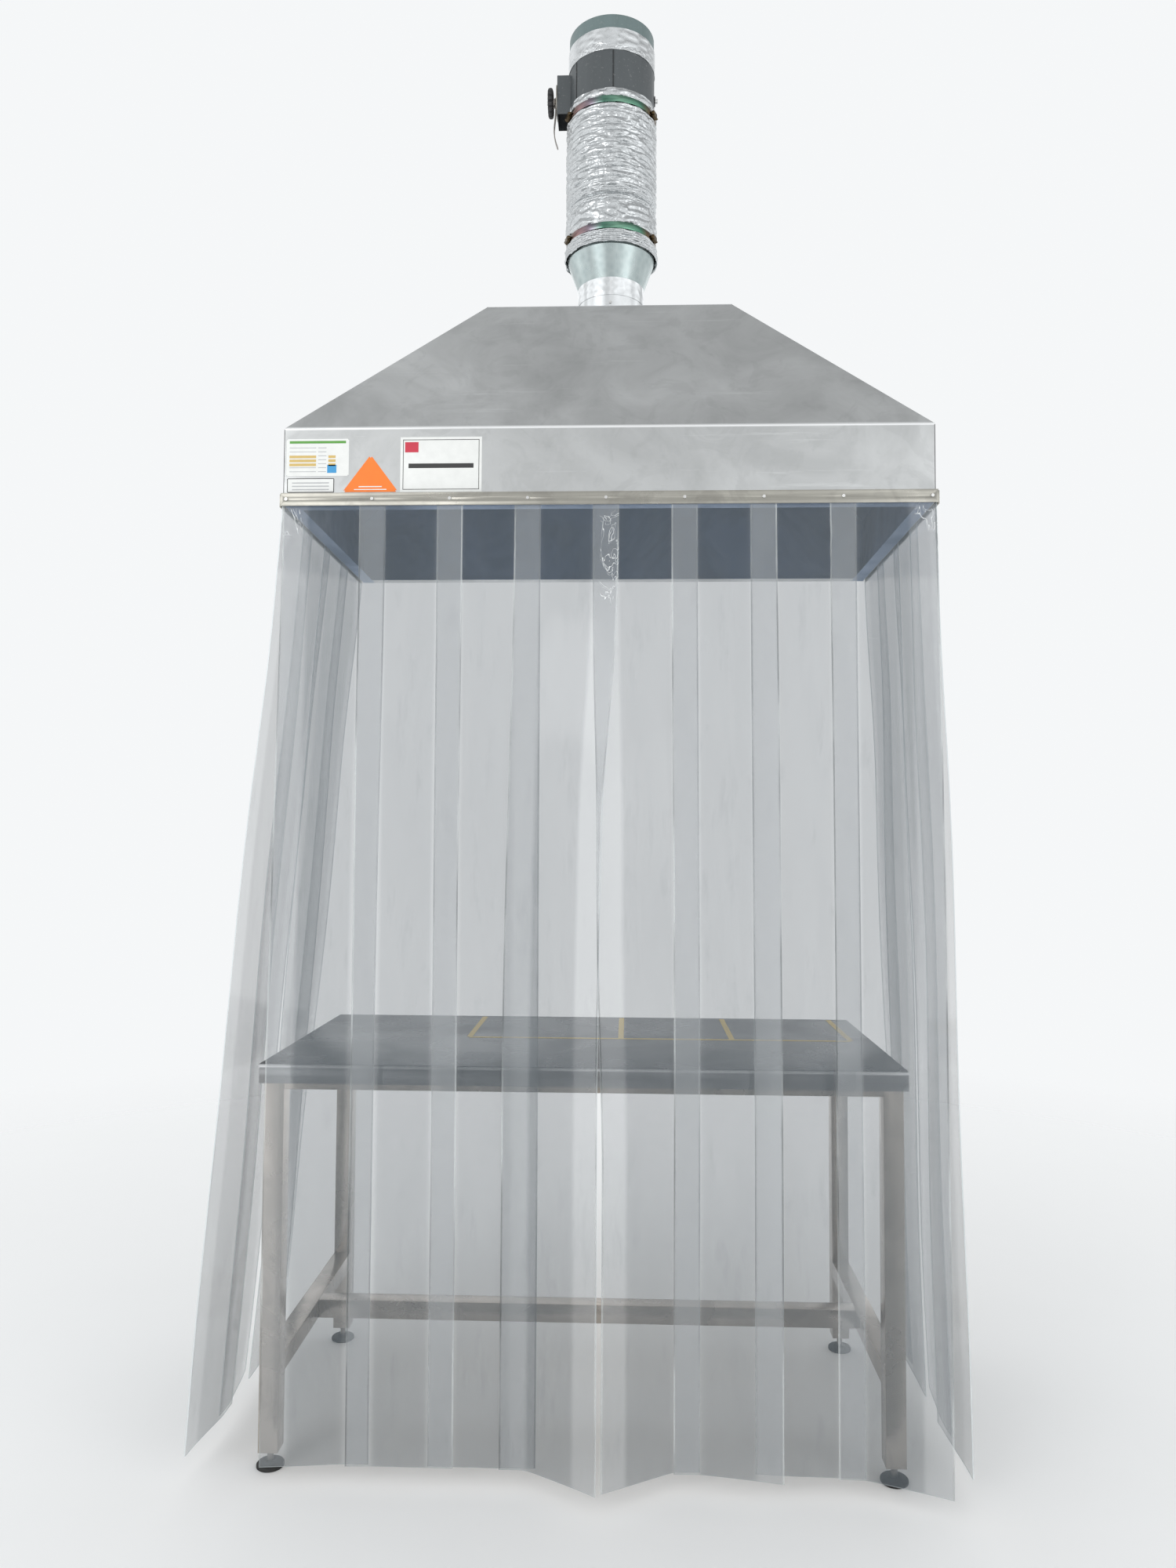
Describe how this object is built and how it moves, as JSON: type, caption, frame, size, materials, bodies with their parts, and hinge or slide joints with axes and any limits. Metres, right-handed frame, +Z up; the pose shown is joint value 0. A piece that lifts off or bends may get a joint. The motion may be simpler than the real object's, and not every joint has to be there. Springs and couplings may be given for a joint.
{
  "type": "fume hood",
  "caption": "Wall extraction canopy with a clear strip curtain on three sides, a duct with a balancing damper, and a stainless bench standing under it.",
  "frame": {"origin": "on the floor, in the middle of the whole assembly's box", "axes": "+Z up along the duct, +Y towards the wall, +X to the right seen from the front"},
  "size_m": [1.4434, 0.7292, 3.065],
  "materials": {
    "stainless": "brushed, faintly mottled",
    "clear_vinyl": "clear, glossy",
    "foil": "crinkled foil",
    "galvanised": "dull galvanised",
    "dark_casing": "satin dark grey",
    "exhaust_paint": "satin grey-green",
    "black_plastic": "matt",
    "frame_steel": "satin tube",
    "core_board": "raw board",
    "card": "laminated card"
  },
  "bodies": {
    "hood": {"canopy_front": "stainless", "canopy_left": "stainless", "canopy_right": "stainless", "canopy_back": "stainless", "canopy_top": "stainless", "front_clamp_rail": "stainless", "left_clamp_rail": "stainless", "right_clamp_rail": "stainless", "rail_screws": "stainless", "strip_heads": "clear_vinyl", "sign_card": "card", "duct_collar": "stainless", "duct_screw": "stainless", "collar_tape": "foil", "duct_reducer": "galvanised", "flexible_duct": "foil", "lower_band_clamp": "stainless", "upper_band_clamp": "stainless", "damper_casing": "dark_casing", "damper_bushes": "black_plastic", "damper_standoff": "dark_casing", "damper_quadrant": "galvanised", "outlet_tape": "foil", "exhaust_duct": "exhaust_paint", "bench_top": "stainless", "bench_core_board": "core_board", "bench_rails": "frame_steel", "bench_legs": "frame_steel", "bench_side_stretchers": "frame_steel", "bench_cross_stretcher": "frame_steel", "leg_plugs": "black_plastic"},
    "front_strip_1": {"front_strip_1": "clear_vinyl"},
    "front_strip_2": {"front_strip_2": "clear_vinyl"},
    "front_strip_3": {"front_strip_3": "clear_vinyl"},
    "front_strip_4": {"front_strip_4": "clear_vinyl"},
    "front_strip_5": {"front_strip_5": "clear_vinyl"},
    "front_strip_6": {"front_strip_6": "clear_vinyl"},
    "front_strip_7": {"front_strip_7": "clear_vinyl"},
    "front_strip_8": {"front_strip_8": "clear_vinyl"},
    "left_strip_1": {"left_strip_1": "clear_vinyl"},
    "left_strip_2": {"left_strip_2": "clear_vinyl"},
    "left_strip_3": {"left_strip_3": "clear_vinyl"},
    "left_strip_4": {"left_strip_4": "clear_vinyl"},
    "right_strip_1": {"right_strip_1": "clear_vinyl"},
    "right_strip_2": {"right_strip_2": "clear_vinyl"},
    "right_strip_3": {"right_strip_3": "clear_vinyl"},
    "right_strip_4": {"right_strip_4": "clear_vinyl"},
    "damper": {"damper_blade": "galvanised", "damper_shaft": "stainless", "damper_lever": "stainless"},
    "lock_knob": {"damper_lock_knob": "black_plastic"},
    "foot_pad_1": {"foot_pad_1": "black_plastic"},
    "foot_stem_1": {"foot_stem_1": "stainless"},
    "foot_pad_2": {"foot_pad_2": "black_plastic"},
    "foot_stem_2": {"foot_stem_2": "stainless"},
    "foot_pad_3": {"foot_pad_3": "black_plastic"},
    "foot_stem_3": {"foot_stem_3": "stainless"},
    "foot_pad_4": {"foot_pad_4": "black_plastic"},
    "foot_stem_4": {"foot_stem_4": "stainless"}
  },
  "joints": [
    {"name": "front_strip_1_swing", "type": "hinge", "parent": "hood", "child": "front_strip_1", "pos_m": [-0.4796, -0.28642, 1.8317], "axis": [1, 0, 0], "range_deg": [0, 1.1]},
    {"name": "front_strip_2_swing", "type": "hinge", "parent": "hood", "child": "front_strip_2", "pos_m": [-0.3296, -0.28872, 1.8317], "axis": [-1, 0, 0], "range_deg": [0, 75]},
    {"name": "front_strip_3_swing", "type": "hinge", "parent": "hood", "child": "front_strip_3", "pos_m": [-0.1796, -0.28642, 1.8317], "axis": [1, 0, 0], "range_deg": [0, 1.1]},
    {"name": "front_strip_4_swing", "type": "hinge", "parent": "hood", "child": "front_strip_4", "pos_m": [-0.0296, -0.28872, 1.8317], "axis": [-1, 0, 0], "range_deg": [0, 75]},
    {"name": "front_strip_5_swing", "type": "hinge", "parent": "hood", "child": "front_strip_5", "pos_m": [0.1204, -0.28642, 1.8317], "axis": [1, 0, 0], "range_deg": [0, 1.1]},
    {"name": "front_strip_6_swing", "type": "hinge", "parent": "hood", "child": "front_strip_6", "pos_m": [0.2704, -0.28872, 1.8317], "axis": [-1, 0, 0], "range_deg": [0, 75]},
    {"name": "front_strip_7_swing", "type": "hinge", "parent": "hood", "child": "front_strip_7", "pos_m": [0.4204, -0.28642, 1.8317], "axis": [1, 0, 0], "range_deg": [0, 1.1]},
    {"name": "front_strip_8_swing", "type": "hinge", "parent": "hood", "child": "front_strip_8", "pos_m": [0.5704, -0.28872, 1.8317], "axis": [-1, 0, 0], "range_deg": [0, 75]},
    {"name": "left_strip_1_swing", "type": "hinge", "parent": "hood", "child": "left_strip_1", "pos_m": [-0.5806, -0.18442, 1.8317], "axis": [0, -1, 0], "range_deg": [0, 2.5]},
    {"name": "left_strip_2_swing", "type": "hinge", "parent": "hood", "child": "left_strip_2", "pos_m": [-0.5829, -0.03508, 1.8317], "axis": [0, 1, 0], "range_deg": [0, 70]},
    {"name": "left_strip_3_swing", "type": "hinge", "parent": "hood", "child": "left_strip_3", "pos_m": [-0.5806, 0.11425, 1.8317], "axis": [0, -1, 0], "range_deg": [0, 2.5]},
    {"name": "left_strip_4_swing", "type": "hinge", "parent": "hood", "child": "left_strip_4", "pos_m": [-0.5829, 0.26358, 1.8317], "axis": [0, 1, 0], "range_deg": [0, 70]},
    {"name": "right_strip_1_swing", "type": "hinge", "parent": "hood", "child": "right_strip_1", "pos_m": [0.6714, -0.18442, 1.8317], "axis": [0, 1, 0], "range_deg": [0, 3.3]},
    {"name": "right_strip_2_swing", "type": "hinge", "parent": "hood", "child": "right_strip_2", "pos_m": [0.6737, -0.03508, 1.8317], "axis": [0, -1, 0], "range_deg": [0, 70]},
    {"name": "right_strip_3_swing", "type": "hinge", "parent": "hood", "child": "right_strip_3", "pos_m": [0.6714, 0.11425, 1.8317], "axis": [0, 1, 0], "range_deg": [0, 3.3]},
    {"name": "right_strip_4_swing", "type": "hinge", "parent": "hood", "child": "right_strip_4", "pos_m": [0.6737, 0.26358, 1.8317], "axis": [0, -1, 0], "range_deg": [0, 70]},
    {"name": "damper_turn", "type": "hinge", "parent": "hood", "child": "damper", "pos_m": [0.0454, 0.14958, 2.925], "axis": [-1, 0, 0], "range_deg": [0, 90]},
    {"name": "lock_knob_turn", "type": "hinge", "parent": "damper", "child": "lock_knob", "pos_m": [-0.0996, 0.14958, 2.925], "axis": [-1, 0, 0], "range_deg": [0, 360]},
    {"name": "foot_1_height", "type": "slide", "parent": "hood", "child": "foot_pad_1", "axis": [0, 0, -1], "range_m": [-0.01049, 0.01049]},
    {"name": "foot_1_turn", "type": "hinge", "parent": "foot_pad_1", "child": "foot_stem_1", "pos_m": [-0.5871, -0.23042, 0.02], "axis": [0, 0, 1], "range_deg": [-2160, 2160]},
    {"name": "foot_2_height", "type": "slide", "parent": "hood", "child": "foot_pad_2", "axis": [0, 0, -1], "range_m": [-0.01049, 0.01049]},
    {"name": "foot_2_turn", "type": "hinge", "parent": "foot_pad_2", "child": "foot_stem_2", "pos_m": [0.5899, -0.23042, 0.02], "axis": [0, 0, 1], "range_deg": [-2160, 2160]},
    {"name": "foot_3_height", "type": "slide", "parent": "hood", "child": "foot_pad_3", "axis": [0, 0, -1], "range_m": [-0.01049, 0.01049]},
    {"name": "foot_3_turn", "type": "hinge", "parent": "foot_pad_3", "child": "foot_stem_3", "pos_m": [-0.5871, 0.30958, 0.02], "axis": [0, 0, 1], "range_deg": [-2160, 2160]},
    {"name": "foot_4_height", "type": "slide", "parent": "hood", "child": "foot_pad_4", "axis": [0, 0, -1], "range_m": [-0.01049, 0.01049]},
    {"name": "foot_4_turn", "type": "hinge", "parent": "foot_pad_4", "child": "foot_stem_4", "pos_m": [0.5899, 0.30958, 0.02], "axis": [0, 0, 1], "range_deg": [-2160, 2160]}
  ],
  "couplings": [
    {"joint": "foot_1_turn", "follows": "foot_1_height", "rad_per_m": 3590.4},
    {"joint": "foot_2_turn", "follows": "foot_2_height", "rad_per_m": 3590.4},
    {"joint": "foot_3_turn", "follows": "foot_3_height", "rad_per_m": 3590.4},
    {"joint": "foot_4_turn", "follows": "foot_4_height", "rad_per_m": 3590.4}
  ]
}
